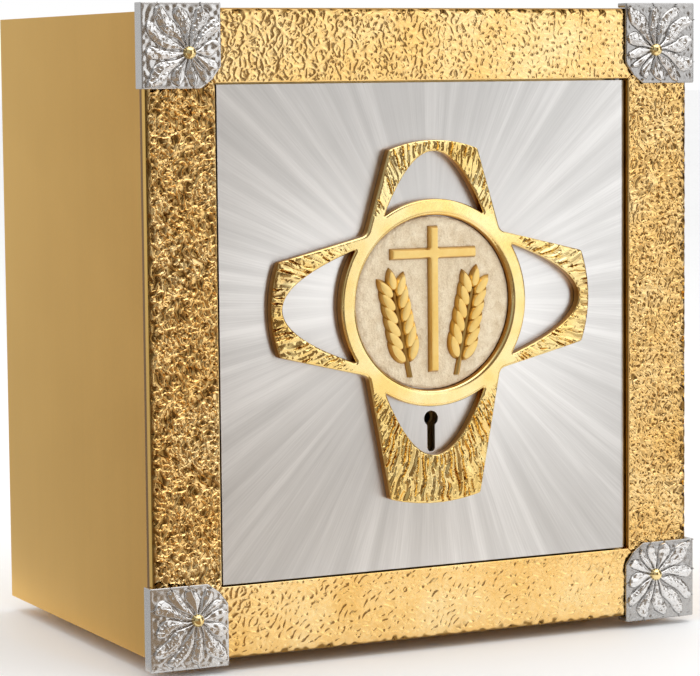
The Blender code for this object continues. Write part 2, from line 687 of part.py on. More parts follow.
def wheat_outline(side):
    """One ear of wheat on a stem that leans out from the cross, drawn as a toothed leaf."""
    grains, length, lean = 6, 0.0490, math.radians(12)
    root, tooth, overhang, first = 0.0036, 0.0100, 0.0012, 0.0085
    foot_x, foot_z = 0.0135, -0.0300
    pitch = length * 0.74 / grains
    outer, inner = [], []
    for i in range(grains):
        low = i * pitch + first
        high = low + pitch + overhang
        outer.extend([(root, low), (tooth, high)])
        inner.extend([(-root, low), (-tooth, high)])
    tip = [(0.0020, length * 0.98), (0, length * 1.05), (-0.0020, length * 0.98)]
    stem = [(-0.0012, -0.005), (0.0012, -0.005)]
    points = [*stem, *outer, *tip, *reversed(inner)]
    turned_points = [(x * math.cos(lean) + y * math.sin(lean), y * math.cos(lean) - x * math.sin(lean))
                     for x, y in points]
    return [(side * (x + foot_x), y + foot_z) for x, y in turned_points]


def make_wheat_ears():
    for name, side in (("wheat_ear_left", -1), ("wheat_ear_right", 1)):
        relief(name, [wheat_outline(side)])


# Lock on the back of the door

def make_lock():
    x, z = LOCK_X, (KEY_Z - LOCK_BELOW_KEY, KEY_Z + LOCK_ABOVE_KEY)
    front = LINER_DEPTHS[1] + GAP
    wall, cap_front = 0.0015, LOCK_BACK - 0.0015
    case = box("lock_case", x, span((front, cap_front - GAP)), z, BRASS)
    hollow = box("lock_hollow", (x[0] + wall, x[1] - wall), span((front + wall, THROUGH)),
                 (z[0] + wall, z[1] - wall))
    combine(case, hollow)
    slot = box("bolt_slot", (x[0] - OVERRUN, x[1] + OVERRUN),
               span((BOLT_DEPTH[0] - GAP, BOLT_DEPTH[1] + GAP)),
               (KEY_Z + BOLT_RISE[0] - GAP, KEY_Z + BOLT_RISE[1] + GAP))
    combine(case, slot)
    cut_keyhole(case, (-0.01, 0.0125))
    box("lock_cap", x, span((cap_front, LOCK_BACK)), z, BRASS)


def make_bolt():
    """A long flat bolt. The notch over the keyhole is where the key's bit drives it."""
    x = (BOLT_TIP_X, BOLT_RIGHT_END)
    z = (KEY_Z + BOLT_RISE[0], KEY_Z + BOLT_RISE[1])
    bolt = box("lock_bolt", x, span(BOLT_DEPTH), z, STEEL)
    notch = box("talon", (-0.0045, 0.0045), span((0, THROUGH)), (z[0] - 0.001, z[0] + 0.0035))
    combine(bolt, notch)
    for i, start in enumerate((FIRST_DETENT, FIRST_DETENT + BOLT_TRAVEL - DETENT_W / 2)):
        dent = box(f"detent_{i}", (start, start + DETENT_W), span((0, THROUGH)),
                   (z[1] - 0.0012, z[1] + 0.001))
        combine(bolt, dent)
    return bolt


def make_bolt_spring():
    """A bowed leaf over the bolt, fixed at its right end, that rests just above the first detent."""
    thickness, length, drop = 0.0005, 0.040, 0.0032
    top = KEY_Z + BOLT_RISE[1] + 0.0002 + drop + thickness
    count = 13
    steps = [i / (count - 1) for i in range(count)]
    lower = [(-0.0175 + length * s, top - thickness - drop * math.sin(math.pi * s)) for s in steps]
    upper = [(x, y + thickness) for x, y in reversed(lower)]
    depth = (BOLT_DEPTH[0] + BOLT_DEPTH[1]) / 2
    flat_shape("bolt_spring", [lower + upper], 0.003, facing_front(depth), STEEL)


def keeper(name, x, base_depth, look):
    """A bracket over the bolt: two feet flat on the surface at base_depth, with a pocket between."""
    wall, foot, clear = KEEPER_WALL, KEEPER_FOOT, BOLT_CLEARANCE
    bolt_low, bolt_high = KEY_Z + BOLT_RISE[0] - clear, KEY_Z + BOLT_RISE[1] + clear
    back = BOLT_DEPTH[1] + clear
    loop = [(base_depth, bolt_low - foot), (base_depth + wall, bolt_low - foot),
            (base_depth + wall, bolt_low - wall), (back + wall, bolt_low - wall),
            (back + wall, bolt_high + wall), (base_depth + wall, bolt_high + wall),
            (base_depth + wall, bolt_high + foot), (base_depth, bolt_high + foot),
            (base_depth, bolt_high), (back, bolt_high), (back, bolt_low), (base_depth, bolt_low)]
    upright = Matrix(((0, 0, 1, sum(x) / 2), (1, 0, 0, FRONT_Y), (0, 1, 0, 0), (0, 0, 0, 1)))
    return flat_shape(name, [loop], x[1] - x[0], upright, look)


def strike_screw_heights():
    reach = BOLT_CLEARANCE + 0.0055
    return (KEY_Z + BOLT_RISE[0] - reach, KEY_Z + BOLT_RISE[1] + reach)


def make_keepers():
    base = STOP_DEPTH[1] + 2 * GAP
    strike = keeper("strike_plate", STRIKE_X, base, STEEL)
    for i, z in enumerate(strike_screw_heights()):
        x = sum(STRIKE_X) / 2
        combine(strike, cylinder(f"strike_hole_{i}", (x, at(0), z), "+Y", STRIKE_SCREW_HOLE_R, THROUGH))
        slotted_screw(f"strike_screw_{i + 1}", (x, at(base + KEEPER_WALL + GAP), z), "+Y",
                      STRIKE_SCREW, 0.0042)
    keeper("bolt_guide", GUIDE_X, LINER_DEPTHS[1] + GAP, BRASS)


def main():
    clear_scene()
    make_case()
    make_back()
    make_feet()
    make_frame()
    make_stop_frame()
    make_corner_plates()
    make_pivot_bushes()
    make_door_panel()
    make_door_liner()
    make_pivot_pins()
    make_ornament()
    make_medallion()
    make_medallion_cross()
    make_wheat_ears()
    make_lock()
    make_bolt()
    make_bolt_spring()
    make_keepers()


main()
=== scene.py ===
import json
import math

import bmesh
import bpy
import numpy as np
from mathutils import Matrix, Vector, geometry, kdtree


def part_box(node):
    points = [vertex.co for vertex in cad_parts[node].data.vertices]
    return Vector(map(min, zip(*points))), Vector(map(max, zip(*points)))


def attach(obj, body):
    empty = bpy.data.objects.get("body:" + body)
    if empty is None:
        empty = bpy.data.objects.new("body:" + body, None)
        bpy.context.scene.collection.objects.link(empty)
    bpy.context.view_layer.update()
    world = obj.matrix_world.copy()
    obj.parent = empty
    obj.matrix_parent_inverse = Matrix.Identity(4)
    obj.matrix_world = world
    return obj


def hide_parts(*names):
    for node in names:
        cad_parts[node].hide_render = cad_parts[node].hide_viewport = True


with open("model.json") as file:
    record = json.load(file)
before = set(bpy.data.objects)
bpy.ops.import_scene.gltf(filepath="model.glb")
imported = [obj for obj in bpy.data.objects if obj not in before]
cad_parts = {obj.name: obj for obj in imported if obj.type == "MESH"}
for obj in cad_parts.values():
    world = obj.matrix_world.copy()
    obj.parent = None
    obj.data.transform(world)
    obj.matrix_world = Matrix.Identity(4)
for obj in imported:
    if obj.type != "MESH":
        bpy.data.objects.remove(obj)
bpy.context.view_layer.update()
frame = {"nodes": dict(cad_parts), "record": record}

MM = 0.001

# Where things are, from the CAD nodes
RAIL_LO, RAIL_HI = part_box("rail_top")
FRONT_Y = RAIL_LO.y
DISC_LO, DISC_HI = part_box("medallion_disc")
RING = ((DISC_LO.x + DISC_HI.x) / 2, (DISC_LO.z + DISC_HI.z) / 2)
FRAME_X = -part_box("stile_left")[0].x
FRAME_LOW, FRAME_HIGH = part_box("rail_bottom")[0].z, RAIL_HI.z
RAIL_W = RAIL_HI.z - RAIL_LO.z


def at(depth):
    """World Y of a depth in millimetres behind the frame's front face."""
    return FRONT_Y + depth * MM


# Materials

def new_material(name, colour, roughness, metallic=1.0, **sockets):
    made = bpy.data.materials.new(name)
    made.use_nodes = True
    shader = made.node_tree.nodes["Principled BSDF"]
    shader.inputs["Base Color"].default_value = (*colour, 1)
    shader.inputs["Roughness"].default_value = roughness
    shader.inputs["Metallic"].default_value = metallic
    for key, value in sockets.items():
        shader.inputs[key.replace("_", " ").title()].default_value = value
    return made


class Web:
    """Adds and wires shader nodes in a material."""

    def __init__(self, material):
        self.tree = material.node_tree
        self.shader = self.tree.nodes["Principled BSDF"]

    def add(self, kind, settings=None, **inputs):
        node = self.tree.nodes.new(kind)
        for key, value in (settings or {}).items():
            setattr(node, key, value)
        for key, value in inputs.items():
            by_number = key[0] == "i" and key[1:].isdigit()
            self.set(node.inputs[int(key[1:]) if by_number else key], value)
        return node

    def set(self, socket, value):
        if isinstance(value, bpy.types.NodeSocket):
            self.tree.links.new(value, socket)
        else:
            socket.default_value = value

    def place(self, stretch=(1, 1, 1)):
        """Object coordinates in millimetres, stretched."""
        where = self.add("ShaderNodeTexCoord").outputs["Object"]
        scale = tuple(1000 * s for s in stretch)
        return self.add("ShaderNodeMapping", Vector=where, Scale=scale).outputs[0]

    def noise(self, vector, size, detail, rough=0.55, distort=0.0):
        """Noise whose bumps are about size apart in the vector's units."""
        node = self.add("ShaderNodeTexNoise", Vector=vector, Scale=1.0 / size, Detail=detail,
                        Roughness=rough, Distortion=distort)
        return node.outputs["Fac"]

    def spread(self, value, low, high, start=0.3, end=0.7):
        """Takes value from start..end to low..high, and no further."""
        node = self.add("ShaderNodeMapRange", {"clamp": True}, i0=value, i1=start, i2=end, i3=low, i4=high)
        return node.outputs[0]

    def colours(self, value, stops):
        """A colour ramp with its stops as (position, colour)."""
        ramp = self.add("ShaderNodeValToRGB", i0=value)
        elements = ramp.color_ramp.elements
        while len(elements) < len(stops):
            elements.new(0.5)
        for element, (position, colour) in zip(elements, stops):
            element.position = position
            element.color = (*colour, 1)
        return ramp.outputs[0]

    def mix(self, factor, one, other):
        node = self.add("ShaderNodeMix", {"data_type": "RGBA", "blend_type": "MIX"})
        self.set(node.inputs[0], factor)
        self.set(node.inputs[6], one)
        self.set(node.inputs[7], other)
        return node.outputs[2]

    def math(self, operation, one, other=0.0):
        return self.add("ShaderNodeMath", {"operation": operation}, i0=one, i1=other).outputs[0]

    def times(self, one, other):
        return self.math("MULTIPLY", one, other)

    def blend(self, *parts):
        """The sum of (value, weight) pairs."""
        total = self.times(*parts[0])
        for part in parts[1:]:
            total = self.math("ADD", total, self.times(*part))
        return total

    def bump(self, height, distance, strength, under=None):
        node = self.add("ShaderNodeBump", Height=height, Distance=distance, Strength=strength)
        if under is not None:
            self.set(node.inputs["Normal"], under)
        return node.outputs[0]

    def sunk(self, tone, start, end, deep):
        """The tone, turning to `deep` between two depths in millimetres behind the frame's front."""
        parts = self.add("ShaderNodeSeparateXYZ", Vector=self.add("ShaderNodeTexCoord").outputs["Object"])
        return self.mix(self.spread(parts.outputs[1], 0.0, 1.0, at(start), at(end)), tone, (*deep, 1))

    def use(self, **sockets):
        for key, value in sockets.items():
            self.set(self.shader.inputs[key.replace("_", " ").title().replace("Ior", "IOR")], value)


def plated(name, pale, deep, roughness, fleck, rough_span=0.08, bump=0.02):
    """Plated metal with slow shifts of colour, fine flecks and uneven polish."""
    made = new_material(name, pale, roughness)
    web = Web(made)
    slow = web.noise(web.place(), 22, 2)
    fine = web.noise(web.place(), fleck, 5, 0.6)
    tone = web.colours(web.blend((slow, 0.6), (fine, 0.4)), [(0.35, deep), (0.65, pale)])
    polish = web.spread(fine, roughness - rough_span / 2, roughness + rough_span / 2)
    web.use(base_color=tone, roughness=polish, normal=web.bump(fine, bump * MM, 0.6))
    return made


# Tones of the frame's gold, each from one depth to another in millimetres behind its front: painted shade in
# the pits, plain gold again on the edges, and a painted shadow line beside the joint with the case
FRAME_PIT_SHADE = (0.66, 1.06, (0.27, 0.15, 0.04))
FRAME_EDGES = (1.9, 2.2, (0.90, 0.56, 0.14))
FRAME_JOINT_SHADOW = (5.0, 5.6, (0.26, 0.13, 0.035))


def gold_frame():
    """Bright gold plate, with painted shade browning its pits and a painted shadow line beside the joint
    with the case.
    """
    made = new_material("hammered_gold", (0.95, 0.70, 0.32), 0.2)
    web = Web(made)
    where = web.place()
    slow = web.noise(where, 30, 2)
    pits = web.noise(where, 1.3, 3, 0.5, 0.3)
    grit = web.noise(where, 0.35, 3)
    tone = web.colours(web.blend((slow, 0.6), (pits, 0.4)),
                       [(0.34, (0.88, 0.54, 0.17)), (0.50, (0.96, 0.64, 0.25)), (0.66, (0.99, 0.74, 0.36))])
    # painted shade in the pits and a painted shadow line at the joint with the case, laid on by depth
    for layer in (FRAME_PIT_SHADE, FRAME_EDGES, FRAME_JOINT_SHADOW):
        tone = web.sunk(tone, *layer)
    lumps = web.bump(pits, 0.035 * MM, 0.7)
    web.use(base_color=tone, roughness=web.spread(grit, 0.14, 0.24),
            normal=web.bump(grit, 0.012 * MM, 0.5, lumps))
    return made


def gold_polished(name="polished_gold", dents=None):
    """Polished gold plate; with dents, painted shade browns it between those two depths."""
    made = new_material(name, (0.97, 0.76, 0.30), 0.14)
    web = Web(made)
    where = web.place()
    slow = web.noise(where, 18, 2)
    fine = web.noise(where, 0.8, 4, 0.6)
    tone = web.colours(slow, [(0.35, (0.93, 0.66, 0.23)), (0.65, (0.97, 0.78, 0.38))])
    if dents:
        # painted shade: brown between the two depths, in the dents, on the rolled edges and round the ring's
        # bore
        tone = web.sunk(tone, *dents, (0.40, 0.185, 0.035))
    web.use(base_color=tone, roughness=web.spread(fine, 0.10, 0.20), normal=web.bump(fine, 0.008 * MM, 0.6))
    return made


def satin_case():
    """Satin gold sheet with a fine upright grain and a few long, faint streaks, and painted light that makes
    it paler and yellower towards its back.
    """
    made = new_material("satin_gold", (0.60, 0.42, 0.18), 0.42, Anisotropic=0.5)
    web = Web(made)
    grain = web.noise(web.place((1, 1, 0.15)), 0.4, 4, 0.6)
    streak = web.noise(web.place((1, 1, 0.06)), 7.0, 2)
    cloud = web.noise(web.place(), 60, 2)
    tone = web.colours(web.blend((grain, 0.50), (streak, 0.10), (cloud, 0.40)),
                       [(0.36, (0.73, 0.42, 0.095)), (0.52, (0.78, 0.46, 0.11)),
                        (0.68, (0.83, 0.50, 0.13))])
    # painted light: paler and yellower from the front of the case to its back
    tone = web.sunk(tone, 10.0, 330.0, (0.93, 0.61, 0.18))
    web.use(base_color=tone, roughness=web.spread(grain, 0.37, 0.45), normal=web.bump(grain, 0.02 * MM, 0.5))
    upright = web.add("ShaderNodeCombineXYZ", X=1.0, Y=1.0, Z=0.0).outputs[0]
    web.use(tangent=upright)
    return made


def brushed_silver():
    """Silver brushed outward from the ring's centre, in rays of fine lines, with painted light in the
    windows beside the ring and painted shade towards the door's corners.
    """
    made = new_material("brushed_silver", (0.80, 0.79, 0.77), 0.33, Anisotropic=0.80)
    web = Web(made)
    local = web.add("ShaderNodeTexCoord").outputs["Object"]
    centre = (RING[0], 0, RING[1])
    offset = web.add("ShaderNodeVectorMath", {"operation": "SUBTRACT"}, i0=local, i1=centre).outputs[0]
    parts = web.add("ShaderNodeSeparateXYZ", Vector=offset)
    x, z = parts.outputs[0], parts.outputs[2]
    turn = web.math("ARCTAN2", z, x)
    reach = web.math("SQRT", web.blend((x, x), (z, z)))

    def rays(count, along):
        spot = web.add("ShaderNodeCombineXYZ", X=web.times(turn, count), Y=web.times(reach, along))
        return web.noise(spot.outputs[0], 1.0, 2, 0.5)

    broad, middle, fine = rays(12.0, 1.5), rays(30.0, 9.0), rays(170.0, 40.0)
    tone = web.colours(web.blend((broad, 0.60), (middle, 0.20), (fine, 0.20)),
                       [(0.38, (0.68, 0.67, 0.655)), (0.50, (0.78, 0.77, 0.755)),
                        (0.62, (0.94, 0.93, 0.915))])
    # painted light: palest in the windows close beside the ring
    tone = web.mix(web.spread(reach, 0.50, 0.0, 0.050, 0.090), tone, (0.98, 0.975, 0.96, 1))
    # painted shade: darker towards the door's corners
    tone = web.mix(web.spread(reach, 0.0, 0.16, 0.080, 0.135), tone, (0.45, 0.44, 0.425, 1))
    around = web.add("ShaderNodeCombineXYZ", X=web.times(z, -1.0), Y=0.0, Z=x).outputs[0]
    tangent = web.add("ShaderNodeVectorMath", {"operation": "NORMALIZE"}, i0=around).outputs[0]
    lines = web.times(fine, web.times(reach, 8.0))
    web.use(base_color=tone, roughness=web.spread(broad, 0.31, 0.37), tangent=tangent,
            normal=web.bump(lines, 0.01 * MM, 0.35))
    return made


def sandy(name, pale, deep):
    """A blasted ground with fine grains and soft undulations."""
    made = new_material(name, pale, 0.5, 0.5)
    web = Web(made)
    where = web.place()
    grains = web.noise(where, 0.45, 5, 0.65)
    waves = web.noise(where, 4.8, 3)
    tone = web.colours(web.blend((grains, 0.6), (waves, 0.4)), [(0.36, deep), (0.64, pale)])
    soft = web.bump(waves, 1.3 * MM, 1.0)
    web.use(base_color=tone, roughness=web.spread(grains, 0.42, 0.58),
            normal=web.bump(grains, 0.10 * MM, 0.9, soft))
    return made


def base_of(web):
    """The socket that feeds a material's base colour."""
    return next(k.from_socket for k in web.tree.links if k.to_socket == web.shader.inputs["Base Color"])


def cast_silver(name="cast_silver", ground=(0.66, 0.65, 0.64)):
    """Bright on the raised petals, duller on the ground between them and on the rims."""
    made = plated(name, (0.88, 0.87, 0.86), (0.72, 0.71, 0.70), 0.26, 0.7, 0.10, 0.015)
    web = Web(made)
    web.use(base_color=web.sunk(base_of(web), -2.6, -1.5, ground))
    return made


def relief_metal():
    """Gold with painted shade, browner towards the foot of the relief."""
    made = plated("relief_gold", (0.98, 0.72, 0.28), (0.90, 0.60, 0.18), 0.30, 2.5, 0.04, 0.0)
    web = Web(made)
    # painted shade: brown towards the foot of the relief, where it meets the ground
    web.use(base_color=web.sunk(base_of(web), -3.4, -1.6, (0.38, 0.20, 0.05)))
    return made


def rubber():
    made = new_material("foot_rubber", (0.03, 0.03, 0.03), 0.8, 0.0)
    web = Web(made)
    grain = web.noise(web.place(), 0.4, 4)
    web.use(base_color=web.colours(grain, [(0.3, (0.022, 0.022, 0.022)), (0.7, (0.045, 0.044, 0.043))]),
            normal=web.bump(grain, 0.06 * MM, 0.6))
    return made


LOOKS = {
    "satin_gold": satin_case(),
    "hammered_gold": gold_frame(),
    "polished_gold": gold_polished(),
    "cast_silver": cast_silver(),
    "brushed_silver": brushed_silver(),
    "champagne_ground": sandy("champagne_ground", (1.0, 0.89, 0.68), (0.72, 0.57, 0.37)),
    "relief_gold": relief_metal(),
    "liner_gold": plated("liner_gold", (0.84, 0.62, 0.30), (0.70, 0.48, 0.20), 0.34, 1.2),
    "plain_brass": plated("plain_brass", (0.74, 0.55, 0.25), (0.60, 0.42, 0.16), 0.34, 1.0),
    "bright_steel": plated("bright_steel", (0.62, 0.62, 0.63), (0.48, 0.48, 0.49), 0.28, 0.8),
    "foot_rubber": rubber(),
}
# The ornament's gold, with painted shade in its dents, on its rolled edges and round the ring's bore
ORNAMENT_GOLD = gold_polished("ornament_gold", (-3.75, -2.9))
# A darker copy of the cast silver: painted shade for the right-hand plates
SHADED_SILVER = cast_silver("shaded_silver", (0.46, 0.45, 0.44))
SLOTS = {entry["node"]: entry["material_slot"] for entry in frame["record"]["subparts"]}
BODY_OF = {node: body for body, nodes in frame["record"]["behaviour"]["bodies"].items() for node in nodes}


def join_frame(piece, slot, *nodes, look=None):
    """Gives a new piece its look and its body, and hides the nodes that it stands for."""
    piece.data.materials.clear()
    piece.data.materials.append(look or LOOKS[slot])
    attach(piece, BODY_OF[nodes[0]])
    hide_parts(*nodes)
    return piece


def from_lists(name, verts, faces):
    mesh = bpy.data.meshes.new(name)
    mesh.from_pydata(verts, [], faces)
    mesh.validate()
    mesh.update()
    return shown(name, mesh)


def shown(name, mesh):
    piece = bpy.data.objects.new(name, mesh)
    bpy.context.scene.collection.objects.link(piece)
    return piece


def smooth(piece, degrees):
    """Smooth shading, but for edges sharper than this."""
    piece.data.shade_smooth()
    piece.data.set_sharp_from_angle(angle=math.radians(degrees))
    return piece


# Random fields for hammering

def filtered(seed, size, weights):
    """A repeating random field of unit deviation, its waves weighed in its spectrum."""
    white = np.random.default_rng(seed).standard_normal(size)
    made = np.real(np.fft.ifft2(np.fft.fft2(white) * weights))
    return made / made.std()


def frequencies(size, cell, across, along):
    """For each part of a spectrum, its waves per `across` on the first axis and per `along` on the next."""
    return np.fft.fftfreq(size[0], cell)[:, None] * across, np.fft.fftfreq(size[1], cell)[None, :] * along


def field(seed, size, cell, across, along, spread=0.35):
    """A random field whose bumps are `across` apart on the first axis and `along` on the next."""
    pitch = np.hypot(*frequencies(size, cell, across, along))
    return filtered(seed, size, np.exp(-((pitch - 1) / spread) ** 2 / 2))


def strokes_field(seed, size, cell, across, length):
    """Like field, but its bumps run on for about `length` along the second axis."""
    pitch, run = frequencies(size, cell, across, length)
    return filtered(seed, size, np.exp(-((np.abs(pitch) - 1) / 0.3) ** 2 / 2 - (2.5 * run) ** 2 / 2))


def read_field(values, cell, u, v):
    """The field at points u and v, between its cells in straight lines."""
    a, b = u / cell, v / cell
    i, j = np.floor(a).astype(int), np.floor(b).astype(int)
    s, t = a - i, b - j
    n, m = values.shape
    low = values[i % n, j % m] * (1 - t) + values[i % n, (j + 1) % m] * t
    high = values[(i + 1) % n, j % m] * (1 - t) + values[(i + 1) % n, (j + 1) % m] * t
    return low * (1 - s) + high * s


def step(low, high, values):
    """0 at low and 1 at high, with a smooth rise between them."""
    t = np.clip((values - low) / (high - low), 0, 1)
    return t * t * (3 - 2 * t)


# Plates with worked faces

def even(loop, spacing):
    """Points at equal spacing round a closed loop."""
    points = np.array(loop, float)
    closed = np.vstack([points, points[:1]])
    run = np.concatenate([[0], np.cumsum(np.linalg.norm(np.diff(closed, axis=0), axis=1))])
    count = max(12, int(round(run[-1] / spacing)))
    marks = np.arange(count) * run[-1] / count
    return np.stack([np.interp(marks, run, closed[:, k]) for k in (0, 1)], axis=1)


def eased(loop, spacing, reach):
    """An even loop with its corners rounded over about `reach`."""
    points = even(loop, spacing)
    if reach > 0:
        waves = np.fft.fftfreq(len(points), spacing) * 2 * math.pi
        soften = np.exp(-(waves * reach) ** 2 / 2)[:, None]
        points = np.real(np.fft.ifft(np.fft.fft(points, axis=0) * soften, axis=0))
    return points


def signed_area(points):
    x, y = points[:, 0], points[:, 1]
    return float(np.sum(x * np.roll(y, -1) - y * np.roll(x, -1)) / 2)


def outward(points):
    along = np.roll(points, -1, axis=0) - np.roll(points, 1, axis=0)
    along /= np.linalg.norm(along, axis=1)[:, None]
    return np.stack([along[:, 1], -along[:, 0]], axis=1)


class Outline:
    """A flat shape in millimetres: its outer loop first, then its holes."""

    def __init__(self, loops):
        self.loops = []
        for k, loop in enumerate(loops):
            if (signed_area(loop) > 0) != (k == 0):
                loop = loop[::-1]
            self.loops.append(loop)
        self.rim = np.vstack(self.loops)
        self.normals = np.vstack([outward(loop) for loop in self.loops])
        self.tree = kdtree.KDTree(len(self.rim))
        for k, (x, z) in enumerate(self.rim):
            self.tree.insert((x, z, 0), k)
        self.tree.balance()

    def inside(self, points):
        """Distance from the rim to each point, below zero off the shape."""
        found = [self.tree.find((x, z, 0)) for x, z in points]
        nearest = np.array([f[1] for f in found])
        gap = np.array([f[2] for f in found])
        side = np.sum((points - self.rim[nearest]) * self.normals[nearest], axis=1)
        return np.where(side > 0, -gap, gap)


def plate(name, loops, height, back, spacing, insets, bend):
    """A plate with a worked front. height(x, z, d) gives the depth of each point, d in from the rim.

    Its front is a net `spacing` apart, with lines along the rim at the insets; edges over `bend` stay sharp.
    """
    shape = Outline(loops)
    points = [shape.rim]
    for inset in insets:
        ring = shape.rim - shape.normals * inset
        points.append(ring[shape.inside(ring) > inset * 0.8])
    low, high = shape.rim.min(0), shape.rim.max(0)
    rows = np.arange(low[1], high[1], spacing * math.sqrt(3) / 2)
    columns = np.arange(low[0], high[0], spacing)
    grid = np.array([(x + (k % 2) * spacing / 2, z) for k, z in enumerate(rows) for x in columns])
    points.append(grid[shape.inside(grid) > insets[-1] + spacing * 0.6])
    points = np.vstack(points)
    edges, start = [], 0
    for loop in shape.loops:
        n = len(loop)
        edges.extend((start + k, start + (k + 1) % n) for k in range(n))
        start += n
    flat, _, triangles, *_ = geometry.delaunay_2d_cdt([Vector(p) for p in points], edges, [], 0, 1e-7)
    flat = np.array([tuple(p) for p in flat])
    triangles = np.array(triangles)
    triangles = triangles[shape.inside(flat[triangles].mean(axis=1)) > 0]
    depth = height(flat[:, 0], flat[:, 1], np.maximum(shape.inside(flat), 0))
    verts = [(x * MM, at(d), z * MM) for (x, z), d in zip(flat, depth)]
    faces = [tuple(int(i) for i in t) for t in triangles]
    shift = len(verts)
    verts.extend((x * MM, at(back), z * MM) for x, z in shape.rim)
    for a, b in edges:
        faces.append((a, shift + a, shift + b, b))
    _, _, floor, *_ = geometry.delaunay_2d_cdt([Vector(p) for p in shape.rim], edges, [], 0, 1e-7)
    floor = np.array(floor)
    floor = floor[shape.inside(shape.rim[floor].mean(axis=1)) > 0]
    faces.extend((shift + int(c), shift + int(b), shift + int(a)) for a, b, c in floor)
    return smooth(from_lists(name, verts, faces), bend)


def worn_edge(d, width, fall):
    """How far an edge falls away within `width` of the rim."""
    t = np.clip(1 - d / width, 0, 1)
    return fall * (1 - np.sqrt(np.maximum(1 - t * t, 0)))


# Hammered frame

HAMMER_GRID = ((1200, 1200), 0.27)
FRAME_BACK = 8.0
MITRE_GAP = 0.08
BLOWS = {
    "rail_top": (0.28, 0.60, 0.36, 1.2, 3.2),
    "rail_bottom": (0.46, 0.80, 0.0, 1.2, 3.2),
    "stile_left": (1.55, 0.42, 0.45, 0.9, 3.4),
    "stile_right": (0.92, 0.56, 0.52, 0.90, 3.3, 5.2, 2.7),
}


def hammered(seed, strength, width, cut, share, pitch, round_width=4.2, round_fall=1.6):
    """Depth of the frame's worked face: a net of little ridges round flat-bottomed pits, and punched cuts.

    The net is `strength` deep and its ridges `width` wide. The cuts are `cut` deep and `pitch` apart, and
    fewer as `share` grows. The frame's outer edge falls away by `round_fall` over `round_width`.
    """
    size, cell = HAMMER_GRID
    net, fine, sharp = (field(seed + k, size, cell, w, w, 0.30) for k, w in enumerate((5.8, 3.6, pitch)))
    lumps, swell = field(seed + 3, size, cell, 7.0, 7.0, 0.4), field(seed + 4, size, cell, 18.0, 18.0, 0.5)

    def depth(x, z, d):
        n, f, c, m, s = (read_field(v, cell, x, z) for v in (net, fine, sharp, lumps, swell))
        ridges = np.exp(-((n + 0.25 * m) / width) ** 2)
        ridges = np.maximum(ridges, 0.60 * np.exp(-(f / (0.9 * width)) ** 2) * step(-0.6, 0.6, s))
        cuts = step(share, share + 0.8, c + 0.3 * m)
        edge = np.minimum(FRAME_X / MM - np.abs(x), np.minimum(z - FRAME_LOW / MM, FRAME_HIGH / MM - z))
        ragged = np.maximum(edge - 0.7 * np.clip(n, -1, 2) * step(0.0, 1.5, edge), 0)
        calm = step(0.2, 1.2, d) * step(0.6, 2.6, edge)
        worked = strength * (0.28 - 0.52 * ridges - 0.10 * m) + cut * cuts - 0.05 * s
        rounded = worn_edge(ragged, round_width, round_fall) + worn_edge(d, 0.7, 0.4)
        return np.maximum(0.42 + worked * calm, 0.02) + rounded

    return depth


def make_frame():
    x, low, high, w = FRAME_X / MM, FRAME_LOW / MM, FRAME_HIGH / MM, RAIL_W / MM
    gap = MITRE_GAP
    outlines = {
        "rail_top": [(-x + gap, high), (-x + w + gap, high - w), (x - w - gap, high - w), (x - gap, high)],
        "rail_bottom": [(-x + gap, low), (x - gap, low), (x - w - gap, low + w), (-x + w + gap, low + w)],
        "stile_left": [(-x, low + gap), (-x + w, low + w + gap), (-x + w, high - w - gap), (-x, high - gap)],
        "stile_right": [(x, low + gap), (x, high - gap), (x - w, high - w - gap), (x - w, low + w + gap)],
    }
    for k, (node, outline) in enumerate(outlines.items()):
        worked = hammered(11 + 7 * k, *BLOWS[node])
        loop = eased(outline, 0.4, 0.0)
        piece = plate(f"{node}_hammered", [loop], worked, FRAME_BACK, 0.38, (0.15, 0.45), 50)
        join_frame(piece, "hammered_gold", node)


# Cast corner plates

# The casting is PLATE square with one corner cut off, and its stud is CENTRE in from the outer edges
PLATE = 39.0
CENTRE = 22.8
CUT = 10.0
FACE_LEVEL = -1.3
SEAT = -0.3
SKIRT_BACK = 6.2
SKIRT_T = 2.2

# Directions of the petals' edges in degrees, 0 towards the casting's outer corner
PETAL_EDGES = (-178, -144, -108, -77, -49, -22, 5, 34, 63, 95, 127, 155, 182)


